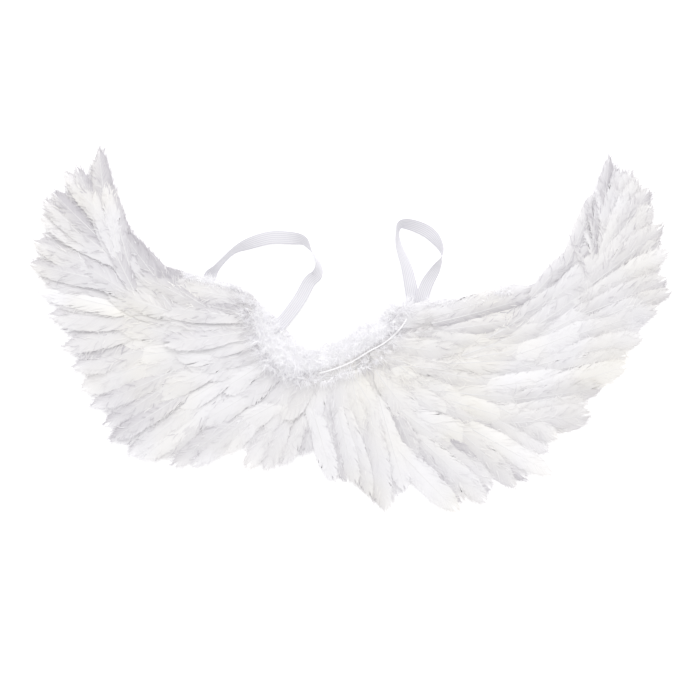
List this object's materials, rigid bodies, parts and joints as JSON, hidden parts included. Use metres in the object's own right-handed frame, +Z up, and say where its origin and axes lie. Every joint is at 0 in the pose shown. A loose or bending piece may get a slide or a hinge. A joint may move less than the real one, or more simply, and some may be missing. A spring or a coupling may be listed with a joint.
{
  "type": "angel wings",
  "caption": "Costume angel wings lying flat: overlapping feather rows on a felt panel, a down trim at the neckline and elastic shoulder loops.",
  "frame": {"origin": "bottom centre of the bounding box, on the underside of the felt panel", "axes": "+X along the span towards the wing with the straighter feathers, +Y from the lower feathers towards the neck, +Z up from the surface the wings lie on, feathers up"},
  "size_m": [0.7937, 0.4602, 0.0319],
  "materials": {
    "felt": "matte",
    "feather": "satin",
    "down": "matte",
    "cord": "matte",
    "elastic": "matte"
  },
  "bodies": {
    "root": {"backing_panel": "felt", "left_strap": "elastic", "right_strap": "elastic", "left_primary_row": "feather", "right_primary_row": "feather", "left_lower_row": "feather", "right_lower_row": "feather", "centre_lower_row": "feather", "left_second_row": "feather", "right_second_row": "feather", "centre_upper_row": "feather", "left_covert_row": "feather", "right_covert_row": "feather", "left_top_row": "feather", "right_top_row": "feather", "trim_cord": "cord", "marabou_trim": "down", "left_edge_down": "down", "right_edge_down": "down"}
  },
  "joints": []
}
